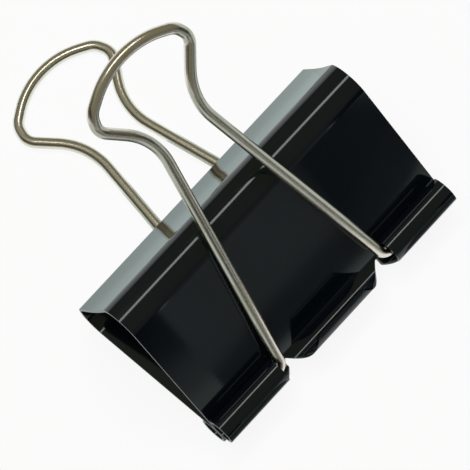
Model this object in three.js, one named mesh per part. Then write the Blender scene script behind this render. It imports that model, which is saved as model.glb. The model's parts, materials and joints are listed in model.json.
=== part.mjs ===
import * as THREE from 'three';

// A foldback clip, 51 mm size: one bent strip of black spring steel and two bent wire handles.
// Lengths are in millimetres. The clip is worked out in its own frame, with x along the lips,
// y from the rear jaw to the front jaw and z from the spine to the lips, and is then laid down
// on its rear handle and its rear lip.

// Driving sizes of the spring body
const sheetLength = 51;
const sheetThickness = 0.5;
const spineWidth = 26;
const bodyDepth = 29.3;
const cornerRadius = 4;
const spineFlatWidth = 7;
const spineDish = 0.45;
const lipGap = 0.3;

// Driving sizes of the rolled lips
const sleeveDiameter = 4.6;
const sleeveSeam = 0.2;
const tabTurnDegrees = 195;
const tabRootWidth = 20.6;
const tabEndWidth = 9.5;
const notchRootDegrees = 24;
const notchRootWidth = 0.45;
const flareStartDegrees = 65;
const flareEndDegrees = 110;

// Driving sizes of a wire handle, with distances measured from its hinge line
const wireDiameter = 1.85;
const legSpan = 23.2;
const hingeBendRadius = 1.8;
const pinReach = 20.5;
const neckWidth = 7.8;
const neckDistance = 46.9;
const neckRadius = 11.8;
const loopWidth = 19.8;
const loopDistance = 54.9;
const loopCornerRadius = 2.8;
const shoulderWidth = 17.8;
const shoulderDistance = 57.9;
const shoulderRadius = 3.2;
const apexDistance = 63.6;
const apexRadius = 12.8;

// Clearances
const legClearance = 0.2;
const cornerClearance = 0.3;

// Where the sheet gives when the jaws open: on each corner bend, at this heading
const flexDegrees = 60;
const flexSeam = 0.1;

// Facets
const sheetStepDegrees = 12;
const wireStepDegrees = 8;
const wireSides = 16;

const radians = THREE.MathUtils.degToRad;
const sheetHalf = sheetLength / 2;
const wireRadius = wireDiameter / 2;

// Bent profile of the sheet's middle layer.
// The corner bend and the sleeve are circles, and the jaw is the line that touches both.
const bendRadius = cornerRadius - sheetThickness / 2;
const sleeveRadius = sleeveDiameter / 2;
const rollRadius = sleeveRadius - sheetThickness / 2;
const cornerCentre = new THREE.Vector2(spineWidth / 2 - cornerRadius, cornerRadius);
const hingeLine = new THREE.Vector2(sleeveRadius + lipGap / 2, bodyDepth - sleeveRadius);
const centreDistance = cornerCentre.distanceTo(hingeLine);
const centreAngle = Math.atan2(cornerCentre.x - hingeLine.x, hingeLine.y - cornerCentre.y);
const jawAngle = centreAngle + Math.asin((bendRadius + rollRadius) / centreDistance);
const jawStraight = Math.sqrt(centreDistance ** 2 - (bendRadius + rollRadius) ** 2);

// The dish of the spine is a flat floor with a hollow flank up to each ridge.
const flankSpan = cornerCentre.x - spineFlatWidth / 2;
const flankRadius = (flankSpan ** 2 / spineDish + spineDish) / 2 - bendRadius;
const flankTurn = Math.asin(flankSpan / (flankRadius + bendRadius));

// The sleeve's free edge stops just short of the jaw's outer face.
const sleeveInside = sleeveRadius - sheetThickness;
const sleeveTurn = 2 * Math.PI - Math.acos((sleeveInside - sleeveSeam) / sleeveRadius);

// Stretches from the middle of the spine outwards. A positive turn bends the strip inwards.
const stretches = [
  { length: spineFlatWidth / 2, turn: 0 },
  { length: flankRadius * flankTurn, turn: -flankTurn },
  { length: bendRadius * (Math.PI / 2 + jawAngle + flankTurn), turn: Math.PI / 2 + jawAngle + flankTurn },
  { length: jawStraight, turn: 0 },
  { length: rollRadius * sleeveTurn, turn: -sleeveTurn },
];
const cornerStart = stretches[0].length + stretches[1].length;
const flexAt = cornerStart + bendRadius * (flankTurn + radians(flexDegrees));
const rollStart = cornerStart + stretches[2].length + jawStraight;
const sleeveEnd = rollStart + rollRadius * sleeveTurn;

// The middle layer at a distance along the strip: y, z and the heading of the strip there.
// Distances below zero are the rear half, which mirrors the front half.
function middleLayer(distance) {
  let left = Math.abs(distance);
  let y = 0;
  let z = sheetThickness / 2 + spineDish;
  let heading = 0;
  for (const { length, turn } of stretches) {
    const part = Math.min(left, length);
    if (turn === 0) {
      y += part * Math.cos(heading);
      z += part * Math.sin(heading);
    } else {
      const radius = length / turn;
      const next = heading + part / radius;
      y += radius * (Math.sin(next) - Math.sin(heading));
      z += radius * (Math.cos(heading) - Math.cos(next));
      heading = next;
    }
    left -= part;
    if (left <= 0) break;
  }
  return distance < 0 ? { y: -y, z, heading: -heading } : { y, z, heading };
}

// Distances along the strip at which it gets a row of vertices: the ends of each stretch,
// even steps round each bend, and any extra rows asked for.
function rowsBetween(from, to, extra = []) {
  const rows = [from, to, ...extra];
  let start = 0;
  for (const { length, turn } of stretches) {
    const steps = Math.max(1, Math.ceil(Math.abs(turn) / radians(sheetStepDegrees)));
    for (let step = 0; step <= steps; step++) {
      rows.push(start + (length * step) / steps, -start - (length * step) / steps);
    }
    start += length;
  }
  const asked = new Set([from, to, ...extra]);
  const crowded = (row) => [...asked].some((other) => Math.abs(row - other) < sheetThickness / 5);
  const inside = [...new Set(rows)].filter((row) => row > from && row < to && !crowded(row));
  return [...asked, ...inside].sort((a, b) => a - b);
}

// The punched outline of a jaw: where the edges of its five columns lie at a distance along it.
// The columns are sleeve, notch, middle tab, notch and sleeve. The sleeves' inner ends flare
// outwards to let the handle's legs by, and the tab narrows to its free edge.
const rollRow = (degrees) => rollStart + rollRadius * radians(degrees);
const notchRoot = rollRow(notchRootDegrees);
const flareStart = rollRow(flareStartDegrees);
const flareEnd = rollRow(flareEndDegrees);
const tabEnd = rollRow(tabTurnDegrees);
const legLean = (legSpan - neckWidth) / 2 / neckDistance;
const sleeveInnerEnd = legSpan / 2 - legLean * sleeveInside + wireRadius + legClearance;
const between = (distance, from, to) => THREE.MathUtils.clamp((distance - from) / (to - from), 0, 1);

function jawEdges(distance) {
  const { lerp } = THREE.MathUtils;
  const tab = lerp(tabRootWidth / 2, tabEndWidth / 2, between(distance, notchRoot, tabEnd));
  const notch = tabRootWidth / 2 + notchRootWidth;
  const sleeve = lerp(notch, sleeveInnerEnd, between(distance, flareStart, flareEnd));
  return [-sheetHalf, -sleeve, -tab, tab, sleeve, sheetHalf];
}

// A closed sheet of metal bent along the profile. Column c of the strip has metal as far as
// columnEnds[c], and side -1 mirrors it into the rear half.
function bentSheet(rows, edgesAt, columnEnds, side = 1) {
  const positions = [];
  const indices = [];
  const known = new Map();
  const vertex = (row, edge, layer) => {
    const key = `${row} ${edge} ${layer}`;
    if (!known.has(key)) {
      const { y, z, heading } = middleLayer(rows[row]);
      const offset = layer * sheetThickness / 2;
      known.set(key, positions.length / 3);
      positions.push(
        edgesAt(rows[row])[edge],
        side * (y + offset * Math.sin(heading)),
        z - offset * Math.cos(heading),
      );
    }
    return known.get(key);
  };
  const quad = (...corners) => {
    const [a, b, c, d] = corners.map(([row, edge, layer]) => vertex(row, edge, layer));
    indices.push(...(side > 0 ? [a, b, c, a, c, d] : [c, b, a, d, c, a]));
  };
  const metal = (row, column) => row >= 0 && row < rows.length - 1 && rows[row] < columnEnds[column];
  const outer = 1;
  const inner = -1;
  for (let r = 0; r < rows.length - 1; r++) {
    for (let c = 0; c < columnEnds.length; c++) {
      if (!metal(r, c)) continue;
      quad([r, c, outer], [r + 1, c, outer], [r + 1, c + 1, outer], [r, c + 1, outer]);
      quad([r, c, inner], [r, c + 1, inner], [r + 1, c + 1, inner], [r + 1, c, inner]);
      if (!metal(r, c - 1)) quad([r, c, outer], [r, c, inner], [r + 1, c, inner], [r + 1, c, outer]);
      if (!metal(r, c + 1)) {
        quad([r, c + 1, outer], [r + 1, c + 1, outer], [r + 1, c + 1, inner], [r, c + 1, inner]);
      }
      if (!metal(r - 1, c)) quad([r, c, outer], [r, c + 1, outer], [r, c + 1, inner], [r, c, inner]);
      if (!metal(r + 1, c)) {
        quad([r + 1, c, outer], [r + 1, c, inner], [r + 1, c + 1, inner], [r + 1, c + 1, outer]);
      }
    }
  }
  const geometry = new THREE.BufferGeometry();
  geometry.setAttribute('position', new THREE.Float32BufferAttribute(positions, 3));
  geometry.setIndex(indices);
  geometry.computeVertexNormals();
  return geometry;
}

function spineGeometry() {
  const reach = flexAt - flexSeam / 2;
  return bentSheet(rowsBetween(-reach, reach), () => [-sheetHalf, sheetHalf], [reach]);
}

function jawGeometry(side) {
  const rows = rowsBetween(flexAt + flexSeam / 2, sleeveEnd, [notchRoot, flareStart, flareEnd, tabEnd]);
  return bentSheet(rows, jawEdges, [sleeveEnd, notchRoot, tabEnd, notchRoot, sleeveEnd], side);
}

// A path that is straight between its corners and rounded at them, as stations to sweep along.
class StationCurve extends THREE.Curve {
  constructor(corners) {
    super();
    this.stations = [];
    corners.forEach(({ point, radius = 0 }, i) => {
      const before = corners[i - 1]?.point;
      const after = corners[i + 1]?.point;
      if (!before || !after) {
        const direction = before ? point.clone().sub(before) : after.clone().sub(point);
        this.stations.push({ point, direction: direction.normalize() });
        return;
      }
      const arriving = point.clone().sub(before).normalize();
      const leaving = after.clone().sub(point).normalize();
      const turn = arriving.angleTo(leaving);
      const setback = radius * Math.tan(turn / 2);
      const start = point.clone().addScaledVector(arriving, -setback);
      const sideways = leaving.clone().addScaledVector(arriving, -Math.cos(turn)).normalize();
      const steps = Math.ceil(turn / radians(wireStepDegrees));
      for (let step = 0; step <= steps; step++) {
        const angle = (turn * step) / steps;
        this.stations.push({
          point: start.clone()
            .addScaledVector(arriving, radius * Math.sin(angle))
            .addScaledVector(sideways, radius * (1 - Math.cos(angle))),
          direction: arriving.clone()
            .multiplyScalar(Math.cos(angle))
            .addScaledVector(sideways, Math.sin(angle)),
        });
      }
    });
  }

  station(t) {
    return this.stations[Math.round(t * (this.stations.length - 1))];
  }

  getPoint(t, target = new THREE.Vector3()) {
    return target.copy(this.station(t).point);
  }

  getPointAt(u, target) {
    return this.getPoint(u, target);
  }

  getTangentAt(u, target = new THREE.Vector3()) {
    return target.copy(this.station(u).direction);
  }
}

// A handle lies flat in x and y with its hinge line on the x axis. Its ends turn outwards into
// the sleeves, its legs run together to the neck, and the neck opens into a fan-shaped loop.
function handleGeometry() {
  const half = [
    { x: shoulderWidth / 2, y: shoulderDistance, radius: shoulderRadius },
    { x: loopWidth / 2, y: loopDistance, radius: loopCornerRadius },
    { x: neckWidth / 2, y: neckDistance, radius: neckRadius },
    { x: legSpan / 2, y: 0, radius: hingeBendRadius },
    { x: pinReach, y: 0 },
  ];
  const corner = ({ x, y, radius }, side) => ({ point: new THREE.Vector3(side * x, y, 0), radius });
  const path = new StationCurve([
    ...half.map((place) => corner(place, -1)).reverse(),
    corner({ x: 0, y: apexDistance, radius: apexRadius }, 1),
    ...half.map((place) => corner(place, 1)),
  ]);
  const section = new THREE.Shape();
  section.absarc(0, 0, wireRadius, 0, 2 * Math.PI);
  return new THREE.ExtrudeGeometry(section, {
    steps: path.stations.length - 1,
    curveSegments: wireSides / 2,
    extrudePath: path,
  });
}

// How far the end of the loop lies from the hinge line
const apexHalfAngle = Math.atan2(shoulderWidth / 2, apexDistance - shoulderDistance);
const handleReach = apexDistance - apexRadius * (1 / Math.sin(apexHalfAngle) - 1);

// Folded back, a handle leans out from the middle plane until its legs lie by the corner bend.
const legToCentre = cornerRadius + cornerClearance + wireRadius;
const handleAngle = centreAngle + Math.asin(legToCentre / centreDistance);

function finish(color, roughness, metalness) {
  return new THREE.MeshStandardMaterial({ color, roughness, metalness });
}
const blackEnamel = () => finish(0x101113, 0.25, 0);
const brightNickel = () => finish(0xb5ad98, 0.16, 1);

function addMesh(parent, name, geometry, material) {
  const mesh = new THREE.Mesh(geometry, material);
  mesh.name = name;
  parent.add(mesh);
  return mesh;
}

const clip = new THREE.Group();
addMesh(clip, 'spine', spineGeometry(), blackEnamel());
addMesh(clip, 'front_jaw', jawGeometry(1), blackEnamel());
addMesh(clip, 'rear_jaw', jawGeometry(-1), blackEnamel());
for (const [name, side] of [['front_handle', 1], ['rear_handle', -1]]) {
  const handle = addMesh(clip, name, handleGeometry(), brightNickel());
  handle.position.set(0, side * hingeLine.x, hingeLine.y);
  handle.rotation.x = side * handleAngle - Math.PI / 2;
}

// The clip lies with its rear handle and rear sleeves on the ground, under the middle of its box.
const lieAngle = handleAngle - Math.asin((sleeveRadius - wireRadius) / handleReach);
clip.rotation.x = Math.PI / 2 + lieAngle;
const lyingBox = new THREE.Box3().setFromObject(clip, true);
const lyingCentre = lyingBox.getCenter(new THREE.Vector3());
clip.position.set(-lyingCentre.x, -lyingCentre.y, -lyingBox.min.z);

// Points on the lines about which the front half turns, in the clip's own frame
const flex = middleLayer(flexAt);
clip.userData.flexPoint = new THREE.Vector3(
  0,
  flex.y + sheetThickness / 2 * Math.sin(flex.heading),
  flex.z - sheetThickness / 2 * Math.cos(flex.heading),
);
clip.userData.hingePoint = new THREE.Vector3(0, hingeLine.x, hingeLine.y);

const model = new THREE.Group();
model.add(clip);
model.updateMatrixWorld(true);

export default model;
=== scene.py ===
import json
import math

import bmesh
import bpy
from mathutils import Euler, Matrix, Vector

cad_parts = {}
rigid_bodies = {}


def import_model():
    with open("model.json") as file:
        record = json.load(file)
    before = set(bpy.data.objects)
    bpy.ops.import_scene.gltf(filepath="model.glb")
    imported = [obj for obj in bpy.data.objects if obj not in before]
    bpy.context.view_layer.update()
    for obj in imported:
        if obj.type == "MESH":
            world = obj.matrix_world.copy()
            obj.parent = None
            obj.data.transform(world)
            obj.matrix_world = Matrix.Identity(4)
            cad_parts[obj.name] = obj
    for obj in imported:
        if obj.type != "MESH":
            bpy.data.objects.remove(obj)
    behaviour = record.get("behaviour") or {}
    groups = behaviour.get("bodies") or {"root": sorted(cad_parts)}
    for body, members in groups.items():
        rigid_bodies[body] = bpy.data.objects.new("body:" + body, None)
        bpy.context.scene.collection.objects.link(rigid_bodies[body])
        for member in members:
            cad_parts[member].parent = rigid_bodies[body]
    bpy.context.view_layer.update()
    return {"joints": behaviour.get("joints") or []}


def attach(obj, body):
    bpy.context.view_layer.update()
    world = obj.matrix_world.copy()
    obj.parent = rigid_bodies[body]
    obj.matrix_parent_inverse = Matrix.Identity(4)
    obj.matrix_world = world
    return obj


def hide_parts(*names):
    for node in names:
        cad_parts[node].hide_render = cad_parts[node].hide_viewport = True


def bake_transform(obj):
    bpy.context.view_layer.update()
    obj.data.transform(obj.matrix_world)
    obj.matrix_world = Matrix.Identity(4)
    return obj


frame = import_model()

smoothAngle = 32                                # degrees, edges shallower than this are shaded smooth
near = 0.001                                    # millimetres, how close counts as lying on a line


def deselectAll():
    if bpy.context.object and bpy.context.object.mode != "OBJECT":
        bpy.ops.object.mode_set(mode="OBJECT")
    bpy.ops.object.select_all(action="DESELECT")


def makeActive(piece):
    deselectAll()
    piece.select_set(True)
    bpy.context.view_layer.objects.active = piece


def editPiece(piece, mode="VERT"):
    makeActive(piece)
    bpy.ops.object.mode_set(mode="EDIT")
    bpy.ops.mesh.select_mode(type=mode)
    bpy.ops.mesh.select_all(action="DESELECT")
    return bmesh.from_edit_mesh(piece.data)


def applyModifier(piece, kind, **settings):
    makeActive(piece)
    modifier = piece.modifiers.new(kind.title(), kind)
    for name, value in settings.items():
        setattr(modifier, name, value)
    bpy.ops.object.modifier_apply(modifier=modifier.name)


def placePiece(piece, matrix):
    makeActive(piece)
    piece.matrix_world = matrix
    bpy.ops.object.transform_apply(location=True, rotation=True, scale=True)


def copyPiece(piece, name):
    makeActive(piece)
    bpy.ops.object.duplicate(linked=False)
    bpy.context.object.name = name
    return bpy.context.object


def turnFacesOut(piece):
    editPiece(piece)
    bpy.ops.mesh.select_all(action="SELECT")
    bpy.ops.mesh.normals_make_consistent(inside=False)
    deselectAll()


def smoothPiece(piece):
    makeActive(piece)
    bpy.ops.object.shade_smooth_by_angle(angle=math.radians(smoothAngle))


# Spring body: one strip of sheet, made as two halves that meet along the spine's middle.
# Pieces are modelled in millimetres in the clip's own frame: x along the lips, y from the rear jaw
# to the front jaw and z from the spine to the lips. placePiece then lays them where the CAD lies.
sheet = {
    "length": 51, "thickness": 0.5, "width": 26, "depth": 29.3, "lipGap": 0.3,
    "cornerRadius": 4, "floorWidth": 5, "dish": 0.22,
    "sleeveRadius": 2.3, "sleeveSeam": 0.2,
    "tabRoot": 20.6, "tabEnd": 9.5, "tabTurn": 195,             # turns of the roll are in degrees
    "notchWidth": 0.45, "notchRoot": 24, "flareStart": 65, "flareEnd": 110,
    "flexHeading": 60, "flexReach": 2.2,        # where the sheet gives, and how far to each side
    "bendStep": 4,                              # degrees between rows round a bend
    "columns": 5,                               # sleeve, notch, tab, notch and sleeve
    "rollMargin": 1.02, "endMargin": 1,         # what still counts as on the roll, and as at its end
    "mergeDistance": 0.01,
    "cornerRound": 0.5, "cornerSegments": 4,
    "rimRound": 0.13, "rimSegments": 3, "sharpAngle": 50,
}

# the bent profile, worked out as in the CAD
bendRadius = sheet["cornerRadius"] - sheet["thickness"] / 2
rollRadius = sheet["sleeveRadius"] - sheet["thickness"] / 2
sleeveInside = sheet["sleeveRadius"] - sheet["thickness"]
cornerY, cornerZ = sheet["width"] / 2 - sheet["cornerRadius"], sheet["cornerRadius"]
hingeY, hingeZ = sheet["sleeveRadius"] + sheet["lipGap"] / 2, sheet["depth"] - sheet["sleeveRadius"]
spread = math.hypot(cornerY - hingeY, hingeZ - cornerZ)
spreadLean = math.atan2(cornerY - hingeY, hingeZ - cornerZ)
jawAngle = spreadLean + math.asin((bendRadius + rollRadius) / spread)
jawLength = math.sqrt(spread ** 2 - (bendRadius + rollRadius) ** 2)
flankSpan = cornerY - sheet["floorWidth"] / 2
flankRadius = (flankSpan ** 2 / sheet["dish"] + sheet["dish"]) / 2 - bendRadius
flankTurn = math.asin(flankSpan / (flankRadius + bendRadius))
sleeveTurn = 360 - math.degrees(math.acos((sleeveInside - sheet["sleeveSeam"]) / sheet["sleeveRadius"]))


def spinRow(turn, centerY, centerZ):
    steps = max(1, math.ceil(abs(turn) / sheet["bendStep"]))
    bpy.ops.mesh.spin(steps=steps, angle=-math.radians(turn), center=(0, centerY, centerZ), axis=(1, 0, 0))


def rollTurn(y, z):
    # how far round the lip's roll a point of the middle layer lies, in degrees
    outY, outZ = y - hingeY, z - hingeZ
    if math.hypot(outY, outZ) > rollRadius * sheet["rollMargin"]:
        return 0
    along = outZ * math.cos(jawAngle) - outY * math.sin(jawAngle)
    inward = -outY * math.cos(jawAngle) - outZ * math.sin(jawAngle)
    return math.degrees(math.atan2(along, inward)) % 360


def shareBetween(value, start, end):
    return min(1, max(0, (value - start) / (end - start)))


def punchedEdges(turn):
    # x of the column edges at a turn of the roll. The sleeves are cut back for the handle's legs
    narrowed = shareBetween(turn, sheet["notchRoot"], sheet["tabTurn"])
    tab = sheet["tabRoot"] + (sheet["tabEnd"] - sheet["tabRoot"]) * narrowed
    notch = sheet["tabRoot"] / 2 + sheet["notchWidth"]
    legLean = (wire["legSpan"] - wire["neckWidth"]) / 2 / wire["neckAt"]
    opened = wire["legSpan"] / 2 - legLean * sleeveInside + wireRadius + wire["legGap"]
    sleeve = notch + (opened - notch) * shareBetween(turn, sheet["flareStart"], sheet["flareEnd"])
    return [-sheet["length"] / 2, -sleeve, -tab / 2, tab / 2, sleeve, sheet["length"] / 2]


def bendProfile(half, floorZ):
    # from the spine round the corner, down the jaw and round the lip
    mesh = editPiece(half, "EDGE")
    for edge in mesh.edges:
        edge.select = all(vert.co.y > sheet["floorWidth"] / 2 - near for vert in edge.verts)
    bmesh.update_edit_mesh(half.data)
    spinRow(-math.degrees(flankTurn), sheet["floorWidth"] / 2, floorZ - flankRadius)
    spinRow(math.degrees(flankTurn) + 90 + math.degrees(jawAngle), cornerY, cornerZ)
    jaw = (0, -math.sin(jawAngle) * jawLength, math.cos(jawAngle) * jawLength)
    bpy.ops.mesh.extrude_region_move(TRANSFORM_OT_translate={"value": jaw})
    turned = 0
    for turn in (sheet["notchRoot"], sheet["flareStart"], sheet["flareEnd"], sheet["tabTurn"], sleeveTurn):
        spinRow(turned - turn, hingeY, hingeZ)
        turned = turn
    bpy.ops.mesh.select_all(action="SELECT")
    bpy.ops.mesh.remove_doubles(threshold=sheet["mergeDistance"])
    deselectAll()


def punchOutline(half):
    # take out the notches and the tab's spare end, then slide the columns to the outline
    mesh = editPiece(half)
    columnLayer = mesh.verts.layers.int.new("column")
    columnWidth = sheet["length"] / sheet["columns"]
    for vert in mesh.verts:
        vert[columnLayer] = round((vert.co.x + sheet["length"] / 2) / columnWidth)
    lastTurns = (sleeveTurn, sheet["notchRoot"], sheet["tabTurn"], sheet["notchRoot"], sleeveTurn)
    spare = []
    for face in mesh.faces:
        center = face.calc_center_median()
        column = min(vert[columnLayer] for vert in face.verts)
        if rollTurn(center.y, center.z) > lastTurns[column]:
            spare.append(face)
    bmesh.ops.delete(mesh, geom=spare, context="FACES")
    for vert in mesh.verts:
        vert.co.x = punchedEdges(rollTurn(vert.co.y, vert.co.z))[vert[columnLayer]]
    bmesh.update_edit_mesh(half.data)
    deselectAll()


def roundCorners(half):
    mesh = editPiece(half)
    columnLayer = mesh.verts.layers.int["column"]
    for vert in mesh.verts:
        turn = rollTurn(vert.co.y, vert.co.z)
        tabCorner = vert[columnLayer] in (2, 3) and turn > sheet["tabTurn"] - sheet["endMargin"]
        sleeveCorner = turn > sleeveTurn - sheet["endMargin"]
        vert.select = len(vert.link_edges) == 2 and (tabCorner or sleeveCorner)
    bmesh.update_edit_mesh(half.data)
    bpy.ops.mesh.bevel(offset=sheet["cornerRound"], segments=sheet["cornerSegments"], affect="VERTICES")
    deselectAll()


def breakEdges(half):
    # round the sheet's cut edges, but not where the two halves meet, and mark the rounds for the chips
    mesh = editPiece(half, "EDGE")
    for edge in mesh.edges:
        sharp = len(edge.link_faces) == 2 and edge.calc_face_angle(0) > math.radians(sheet["sharpAngle"])
        edge.select = sharp and any(vert.co.y > near for vert in edge.verts)
    bmesh.update_edit_mesh(half.data)
    bpy.ops.mesh.bevel(offset=sheet["rimRound"], segments=sheet["rimSegments"], affect="EDGES",
                       clamp_overlap=True)
    mesh = bmesh.from_edit_mesh(half.data)
    rimLayer = mesh.faces.layers.float.new("rim")
    for face in mesh.faces:
        face[rimLayer] = 1 if face.select else 0
    bmesh.update_edit_mesh(half.data)
    deselectAll()


def makeHalf():
    floorZ = sheet["thickness"] / 2 + sheet["dish"]
    deselectAll()
    bpy.ops.mesh.primitive_grid_add(x_subdivisions=sheet["columns"], y_subdivisions=1, size=1,
                                    location=(0, sheet["floorWidth"] / 4, floorZ))
    half = bpy.context.object
    half.scale = (sheet["length"], sheet["floorWidth"] / 2, 1)
    bpy.ops.object.transform_apply(location=True, rotation=True, scale=True)
    bendProfile(half, floorZ)
    punchOutline(half)
    roundCorners(half)
    applyModifier(half, "SOLIDIFY", thickness=sheet["thickness"], offset=0, use_even_offset=True)
    breakEdges(half)
    turnFacesOut(half)
    smoothPiece(half)
    return half


# Wire handles: a ring drawn along straights and spun round bends, with the hinge line on x
wire = {
    "diameter": 1.85, "reach": 20.5, "legSpan": 23.2, "hingeBend": 1.8,
    "neckWidth": 7.8, "neckAt": 46.9, "neckBend": 11.8,
    "loopWidth": 19.8, "loopAt": 54.9, "loopBend": 2.8,
    "shoulderWidth": 17.8, "shoulderAt": 57.9, "shoulderBend": 3.2,
    "topAt": 63.6, "topBend": 12.8,
    "legGap": 0.2, "cornerGap": 0.3,            # room between the wire and the sheet
    "sides": 32, "bendStep": 5,                 # degrees between rings round a bend
    "endRound": 0.22, "endSegments": 3,
}
wireRadius = wire["diameter"] / 2
handleAngle = spreadLean + math.asin((sheet["cornerRadius"] + wire["cornerGap"] + wireRadius) / spread)


def wireCorners():
    # x, y and bend radius of each corner, from the left end over the loop to the right end
    half = [
        (wire["shoulderWidth"] / 2, wire["shoulderAt"], wire["shoulderBend"]),
        (wire["loopWidth"] / 2, wire["loopAt"], wire["loopBend"]),
        (wire["neckWidth"] / 2, wire["neckAt"], wire["neckBend"]),
        (wire["legSpan"] / 2, 0, wire["hingeBend"]),
        (wire["reach"], 0, 0),
    ]
    left = [(-x, y, bend) for x, y, bend in reversed(half)]
    return left + [(0, wire["topAt"], wire["topBend"])] + half


def bendWire(handle, corners):
    # returns how far along the wire each ring lies
    editPiece(handle, "EDGE")
    bpy.ops.mesh.select_all(action="SELECT")
    place = corners[0][0]
    distances = [0]
    for i, (corner, bend) in enumerate(corners[1:], 1):
        arriving = (corner - corners[i - 1][0]).normalized()
        setback, turn = 0, 0
        if bend:
            leaving = (corners[i + 1][0] - corner).normalized()
            turn = math.atan2(arriving.cross(leaving).z, arriving.dot(leaving))
            setback = bend * math.tan(abs(turn) / 2)
        straight = corner - arriving * setback - place
        bpy.ops.mesh.extrude_region_move(TRANSFORM_OT_translate={"value": straight})
        place = place + straight
        distances.append(distances[-1] + straight.length)
        if bend:
            sideways = Vector((-arriving.y, arriving.x, 0)) * math.copysign(bend, turn)
            steps = math.ceil(abs(math.degrees(turn)) / wire["bendStep"])
            bpy.ops.mesh.spin(steps=steps, angle=-turn, center=place + sideways, axis=(0, 0, 1))
            distances += [distances[-1] + bend * abs(turn) * (step + 1) / steps for step in range(steps)]
            place = corner + leaving * setback
    deselectAll()
    return distances


def markStraightened(handle, distances):
    # every ring remembers its place on the straight wire, so that drawing marks run along it
    straightened = handle.data.attributes.new("straightened", "FLOAT_VECTOR", "POINT")
    sides = wire["sides"]
    for index in range(len(handle.data.vertices)):
        around = 2 * math.pi * (index % sides) / sides
        spot = (wireRadius * math.cos(around), wireRadius * math.sin(around), distances[index // sides])
        straightened.data[index].vector = spot


def closeEnds(handle):
    mesh = editPiece(handle, "EDGE")
    for end in (-1, 1):
        for edge in mesh.edges:
            edge.select = edge.is_boundary and all(vert.co.x * end > 0 for vert in edge.verts)
        bmesh.update_edit_mesh(handle.data)
        bpy.ops.mesh.edge_face_add()
        mesh = bmesh.from_edit_mesh(handle.data)
    for edge in mesh.edges:
        edge.select = any(len(face.verts) == wire["sides"] for face in edge.link_faces)
    bmesh.update_edit_mesh(handle.data)
    bpy.ops.mesh.bevel(offset=wire["endRound"], segments=wire["endSegments"], affect="EDGES")
    deselectAll()


def makeHandle():
    corners = [(Vector((x, y, 0)), bend) for x, y, bend in wireCorners()]
    deselectAll()
    bpy.ops.mesh.primitive_circle_add(vertices=wire["sides"], radius=wireRadius, fill_type="NOTHING",
                                      location=corners[0][0], rotation=(0, math.pi / 2, 0))
    handle = bpy.context.object
    bpy.ops.object.transform_apply(location=True, rotation=True, scale=True)
    markStraightened(handle, bendWire(handle, corners))
    closeEnds(handle)
    turnFacesOut(handle)
    smoothPiece(handle)
    return handle


# The clip's frame in the room, from the lines its two handles turn on
hinges = {joint["child"]: Vector(joint["pos_m"]) for joint in frame["joints"]}
axisX = Vector((1, 0, 0))
axisY = (hinges["front_handle"] - hinges["rear_handle"]).normalized()
axisZ = axisX.cross(axisY)
clipOrigin = (hinges["front_handle"] + hinges["rear_handle"]) / 2 - axisZ * hingeZ / 1000
clipTurn = Matrix((axisX, axisY, axisZ)).transposed().to_4x4()
clipPlace = Matrix.Translation(clipOrigin) @ clipTurn @ Matrix.Scale(0.001, 4)      # millimetres to metres

frontHalf = makeHalf()
frontHalf.name = "springBodyFront"
rearHalf = copyPiece(frontHalf, "springBodyRear")
placePiece(rearHalf, Matrix.Scale(-1, 4, (0, 1, 0)))
turnFacesOut(rearHalf)

for half, side, jaw in ((frontHalf, 1, "front_jaw"), (rearHalf, -1, "rear_jaw")):
    placePiece(half, clipPlace)
    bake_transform(half)
    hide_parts("spine", jaw)
print("spring body:", len(frontHalf.data.polygons), "faces in each half")

frontHandle = makeHandle()
frontHandle.name = "frontHandle"
rearHandle = copyPiece(frontHandle, "rearHandle")
for handle, side, name in ((frontHandle, 1, "front_handle"), (rearHandle, -1, "rear_handle")):
    lean = Matrix.Rotation(side * handleAngle - math.pi / 2, 4, "X")
    placePiece(handle, clipPlace @ Matrix.Translation((0, side * hingeY, hingeZ)) @ lean)
    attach(handle, name)
    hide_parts(name)
print("handles:", len(frontHandle.data.polygons), "faces in each")


# Materials: sums of sockets read as sums of numbers, and any other node comes from Shader.node
class Socket:
    def __init__(self, shader, output):
        self.shader = shader
        self.output = output

    def math(self, operation, *values):
        return self.shader.node("ShaderNodeMath", {"operation": operation}, dict(enumerate(values)))

    def __add__(self, other):
        return self.math("ADD", self, other)

    def __sub__(self, other):
        return self.math("SUBTRACT", self, other)

    def __rsub__(self, other):
        return self.math("SUBTRACT", other, self)

    def __mul__(self, other):
        return self.math("MULTIPLY", self, other)

    __radd__ = __add__
    __rmul__ = __mul__


class Shader:
    def __init__(self, tree):
        self.tree = tree
        tree.nodes.clear()

    def node(self, kind, settings=None, values=None, output=0):
        node = self.tree.nodes.new(kind)
        for name, value in (settings or {}).items():
            setattr(node, name, value)
        for name, value in (values or {}).items():
            if isinstance(value, Socket):
                self.tree.links.new(value.output, node.inputs[name])
            else:
                node.inputs[name].default_value = value
        return Socket(self, node.outputs[output]) if node.outputs else None

    def noise(self, vector, scale, detail, roughness=0.5):
        return self.node("ShaderNodeTexNoise", {}, {"Vector": vector, "Scale": scale, "Detail": detail,
                                                    "Roughness": roughness}, "Fac")

    def steps(self, value, low, high):
        return self.node("ShaderNodeMapRange", {"interpolation_type": "SMOOTHSTEP"},
                         {"Value": value, "From Min": low, "From Max": high})

    def mixColor(self, factor, first, second):
        # inputs 6 and 7 and output 2 are the node's colours
        return self.node("ShaderNodeMix", {"data_type": "RGBA"},
                         {"Factor": factor, 6: first, 7: second}, 2)


def newMaterial(name):
    material = bpy.data.materials.new(name)
    material.use_nodes = True
    return material, Shader(material.node_tree)


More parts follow.
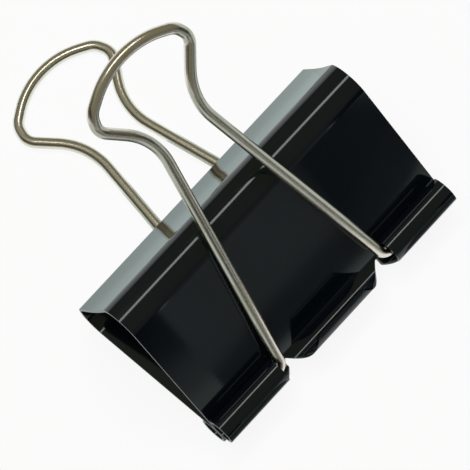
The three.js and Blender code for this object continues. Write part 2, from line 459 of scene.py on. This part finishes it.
# Each noise is its scale, detail and, where given, roughness. An edge is where one starts to show
# and where it is full
enamel = {
    "color": (0.002, 0.004, 0.0068, 1), "dull": (0.003, 0.0052, 0.0084, 1), "steel": (0.32, 0.31, 0.29, 1),
    "tint": (0.9, 0.99, 0.97, 1), "ior": 1.5, "roughness": 0.06,
    "peel": (700, 2), "peelHeight": 0.7,
    "cloud": (85, 3), "cloudEdge": (0.4, 0.7), "cloudRough": 0.04,
    "hairline": (2340, 2), "hairlineEdge": (0.66, 0.72),
    "hairlineTurn": (0.4, 0.9, 0.7), "hairlineStretch": (0.12, 1, 1),
    "scratch": (260, 1), "scratchEdge": (0.6, 0.7), "scratchRough": 0.12, "scratchDepth": 0.1,
    "chip": (1500, 3), "chipEdge": (0.62, 0.67), "chipRough": 0.15, "chipDepth": 0.6,
    "bump": 0.25, "bumpDistance": 0.000004,
}


def enamelMaterial():
    material, shader = newMaterial("blackEnamel")
    place = shader.node("ShaderNodeTexCoord", output="Object")
    peel = shader.noise(place, *enamel["peel"])
    cloud = shader.noise(place, *enamel["cloud"])
    stretched = shader.node("ShaderNodeMapping", {}, {
        "Vector": place, "Rotation": Euler(enamel["hairlineTurn"]),
        "Scale": Vector(enamel["hairlineStretch"])})
    hairline = shader.steps(shader.noise(stretched, *enamel["hairline"]), *enamel["hairlineEdge"])
    scratched = hairline * shader.steps(shader.noise(place, *enamel["scratch"]), *enamel["scratchEdge"])
    rim = shader.node("ShaderNodeAttribute", {"attribute_name": "rim"}, output="Fac")
    chipped = rim * shader.steps(shader.noise(place, *enamel["chip"]), *enamel["chipEdge"])
    color = shader.mixColor(shader.steps(cloud, *enamel["cloudEdge"]), enamel["color"], enamel["dull"])
    color = shader.mixColor(chipped, color, enamel["steel"])
    roughness = enamel["roughness"] + cloud * enamel["cloudRough"]
    roughness = roughness + scratched * enamel["scratchRough"] + chipped * enamel["chipRough"]
    height = peel * enamel["peelHeight"] - scratched * enamel["scratchDepth"] - chipped * enamel["chipDepth"]
    bump = shader.node("ShaderNodeBump", {}, {
        "Strength": enamel["bump"], "Distance": enamel["bumpDistance"], "Height": height})
    coat = shader.node("ShaderNodeBsdfPrincipled", {}, {
        "Base Color": color, "Roughness": roughness, "Metallic": chipped, "IOR": enamel["ior"],
        "Specular Tint": enamel["tint"], "Normal": bump})
    shader.node("ShaderNodeOutputMaterial", {}, {"Surface": coat})
    return material


nickel = {
    "color": (0.75, 0.712, 0.625, 1), "tarnish": (0.6, 0.552, 0.43, 1), "roughness": 0.18,
    "drawn": (5.5, 4, 0.65), "drawnStretch": (1, 1, 0.03), "drawnRough": 0.08,
    "smudge": (160, 4), "smudgeEdge": (0.42, 0.72), "smudgeShare": 0.7,
    "smudgeRoughEdge": (0.45, 0.75), "smudgeRough": 0.08,
    "bump": 0.2, "bumpDistance": 0.000012,
}


def nickelMaterial():
    material, shader = newMaterial("nickelPlate")
    place = shader.node("ShaderNodeTexCoord", output="Object")
    straight = shader.node("ShaderNodeAttribute", {"attribute_name": "straightened"}, output="Vector")
    drawn = shader.node("ShaderNodeVectorMath", {"operation": "MULTIPLY"}, {
        0: straight, 1: nickel["drawnStretch"]})
    lines = shader.noise(drawn, *nickel["drawn"])
    smudge = shader.noise(place, *nickel["smudge"])
    tarnished = shader.steps(smudge, *nickel["smudgeEdge"]) * nickel["smudgeShare"]
    color = shader.mixColor(tarnished, nickel["color"], nickel["tarnish"])
    dulled = shader.steps(smudge, *nickel["smudgeRoughEdge"]) * nickel["smudgeRough"]
    roughness = nickel["roughness"] + lines * nickel["drawnRough"] + dulled
    bump = shader.node("ShaderNodeBump", {}, {
        "Strength": nickel["bump"], "Distance": nickel["bumpDistance"], "Height": lines})
    plate = shader.node("ShaderNodeBsdfPrincipled", {}, {
        "Base Color": color, "Roughness": roughness, "Metallic": 1.0, "Normal": bump})
    shader.node("ShaderNodeOutputMaterial", {}, {"Surface": plate})
    return material


blackEnamel = enamelMaterial()
nickelPlate = nickelMaterial()
for piece, material in ((frontHalf, blackEnamel), (rearHalf, blackEnamel),
                        (frontHandle, nickelPlate), (rearHandle, nickelPlate)):
    piece.data.materials.clear()
    piece.data.materials.append(material)
print("materials set")


def seenAs(shader, *rays):
    # 1 for rays of any of the given kinds, and 0 for all others
    seen = shader.node("ShaderNodeLightPath", output=rays[0])
    for ray in rays[1:]:
        seen = seen.math("MAXIMUM", seen, shader.node("ShaderNodeLightPath", output=ray))
    return seen


# Floor: the camera sees mostly the white world through it, so that a jaw or handle that swings below
# it stays in view, and gloss sees it in a greyer tint
ground = {
    "size": 4, "paint": (0.89, 0.94, 0.93, 1), "clear": 0.9,
    "glow": (0.52, 0.6, 0.585, 1), "glossShare": 0.6,
}
deselectAll()
bpy.ops.mesh.primitive_plane_add(size=ground["size"], location=(0, 0, 0))
floor = bpy.context.object
floor.name = "floor"
floorPaint, shader = newMaterial("paleFloor")
paint = shader.node("ShaderNodeBsdfDiffuse", {}, {"Color": ground["paint"]})
clear = shader.node("ShaderNodeBsdfTransparent")
glow = shader.node("ShaderNodeEmission", {}, {"Color": ground["glow"], "Strength": 1})
inView = seenAs(shader, "Is Camera Ray") * ground["clear"]
inGloss = seenAs(shader, "Is Glossy Ray", "Is Transmission Ray") * ground["glossShare"]
mixed = shader.node("ShaderNodeMixShader", {}, {0: inView, 1: paint, 2: clear})
mixed = shader.node("ShaderNodeMixShader", {}, {0: inGloss, 1: mixed, 2: glow})
shader.node("ShaderNodeOutputMaterial", {}, {"Surface": mixed})
floor.data.materials.append(floorPaint)

# Lights: a long soft lamp along the lips, and a wide fill that leaves the gloss alone
lights = {
    "lampFrom": (0.156, 0.137, 0.978), "lampAway": 0.6, "lampSize": (0.42, 0.09), "lampPower": 0.58,
    "fillAway": 1, "fillSize": 0.8, "fillPower": 4.5,
}
lampDirection = Vector(lights["lampFrom"]).normalized()
lampSide = Vector((0, 1, 0)).cross(lampDirection).normalized()
lampTurn = Matrix((lampSide, lampDirection.cross(lampSide), lampDirection)).transposed()
lampPlace = lampDirection * lights["lampAway"]
deselectAll()
bpy.ops.object.light_add(type="AREA", location=lampPlace, rotation=lampTurn.to_euler())
lamp = bpy.context.object.data
lamp.shape = "RECTANGLE"
lamp.size, lamp.size_y = lights["lampSize"]
lamp.energy = lights["lampPower"]

deselectAll()
bpy.ops.object.light_add(type="AREA", location=(0, 0, lights["fillAway"]))
fill = bpy.context.object
fill.visible_glossy = False
fill.data.size = lights["fillSize"]
fill.data.energy = lights["fillPower"]

# Cards, seen only in the clip's gloss, are painted reflections: they light nothing and cast no shadow.
# The dark ones paint shade into the reflections and the pale ones paint reflected light.
# Each has its place, size, turns about X and Z in degrees, and colour
paintedReflectionCards = {
    "jawCard": ((0.025, -0.38, 0.0004), (0.11, 0.45), (0, 10), (0.3, 0.3, 0.3)),
    "sideCard": ((0.106, -0.38, 0.0006), (0.065, 0.47), (0, 10), (0.06, 0.06, 0.06)),
    "nearCard": ((0.03, -0.13, 0.0008), (0.1, 0.07), (0, 0), (0.1, 0.1, 0.1)),
    "footCard": ((0, -0.053, 0.0008), (0.08, 0.034), (0, 0), (0.15, 0.15, 0.15)),
    # painted reflection: a pale patch on the tab's roll
    "tabCard": ((0.005, -0.057, 0.0012), (0.025, 0.049), (0, 10), (1, 1, 1)),
    "barCard": ((-0.215, -0.25, 0.03), (0.39, 0.06), (90, 0), (0.02, 0.02, 0.02)),
    "backCard": ((0.1, -0.64, 0.07), (0.2, 0.14), (90, 0), (0.2, 0.2, 0.2)),
    "rightCard": ((0.24, -0.27, 0.065), (0.3, 0.13), (90, 42), (0.02, 0.02, 0.02)),
    "leftCard": ((-0.23, 0.25, 0.04), (0.45, 0.08), (90, 42), (0.06, 0.06, 0.06)),
    "highCard": ((-0.237, 0.045, 0.185), (0.32, 0.1), (53, -100), (0.015, 0.015, 0.015)),
    # painted light: the ridge and behind cards brighten the spine's reflection of the clip's own shadow on
    # the floor
    "ridgeCard": ((0, 0.0062, 0.0003), (0.058, 0.0066), (0, 0), (0.58, 0.685, 0.665)),
    "behindCard": ((0, 0.02475, 0.0003), (0.058, 0.0305), (0, 0), (0.98, 1.06, 1.05)),
    "rearCard": ((0, 0.34, 0.0004), (0.6, 0.6), (0, 0), (0.98, 0.98, 0.98)),
}
for name, (place, size, (tilt, turn), color) in paintedReflectionCards.items():
    reflectionPaint, shader = newMaterial(name)
    paint = shader.node("ShaderNodeEmission", {}, {"Color": (*color, 1), "Strength": 1})
    shader.node("ShaderNodeOutputMaterial", {}, {"Surface": paint})
    deselectAll()
    cardTurn = (math.radians(tilt), 0, math.radians(turn))
    bpy.ops.mesh.primitive_plane_add(size=1, location=place, rotation=cardTurn)
    card = bpy.context.object
    card.name = name
    card.scale = (*size, 1)
    bpy.ops.object.transform_apply(location=True, rotation=True, scale=True)
    card.data.materials.append(reflectionPaint)
    card.visible_camera = False
    card.visible_diffuse = False
    card.visible_shadow = False
print("floor, lights and", len(paintedReflectionCards), "cards set")

# Sky: white to the camera, and dim and warm in the gloss. Rises are heights of the view's direction
sky = {
    "horizon": (0.95, 0.95, 0.95, 1), "wall": (0.15, 0.145, 0.12, 1), "wallRise": (0.03, 0.12),
    "ceiling": (0.205, 0.192, 0.126, 1), "ceilingRise": (0.2, 0.6), "underRise": (-0.15, -0.05),
    "window": (0.3, 0.3, 0.23, 1), "windowFrom": (-0.35, 0.3, 0.88), "windowSpread": (0.86, 1),
    "seen": (1, 1, 1, 1),
}
world = bpy.data.worlds.new("room")
bpy.context.scene.world = world
world.use_nodes = True
shader = Shader(world.node_tree)
direction = shader.node("ShaderNodeTexCoord", output="Generated")
height = shader.node("ShaderNodeSeparateXYZ", {}, {0: direction}, 2)
toWindow = shader.node("ShaderNodeVectorMath", {"operation": "DOT_PRODUCT"}, {
    0: direction, 1: Vector(sky["windowFrom"]).normalized()}, "Value")
tone = shader.mixColor(shader.steps(height, *sky["wallRise"]), sky["horizon"], sky["wall"])
tone = shader.mixColor(shader.steps(height, *sky["ceilingRise"]), tone, sky["ceiling"])
tone = shader.mixColor(shader.steps(toWindow, *sky["windowSpread"]), tone, sky["window"])
tone = shader.mixColor(shader.steps(height, *sky["underRise"]), sky["ceiling"], tone)
tone = shader.mixColor(seenAs(shader, "Is Camera Ray"), tone, sky["seen"])
light = shader.node("ShaderNodeBackground", {}, {"Color": tone, "Strength": 1})
shader.node("ShaderNodeOutputWorld", {}, {"Surface": light})

# Camera, turned as the photo was taken
camera = {
    "location": (-0.12091, -0.24706, 0.72737), "lens": 383.2,
    "right": (0.6727, -0.7290, -0.1265), "up": (0.7232, 0.6118, 0.3206),
}
deselectAll()
right, up = Vector(camera["right"]).normalized(), Vector(camera["up"]).normalized()
cameraTurn = Matrix((right, up, right.cross(up))).transposed()
bpy.ops.object.camera_add(location=camera["location"], rotation=cameraTurn.to_euler())
bpy.context.scene.camera = bpy.context.object
bpy.context.object.data.lens = camera["lens"]
bpy.context.scene.view_settings.view_transform = "Standard"
print("sky and camera set")
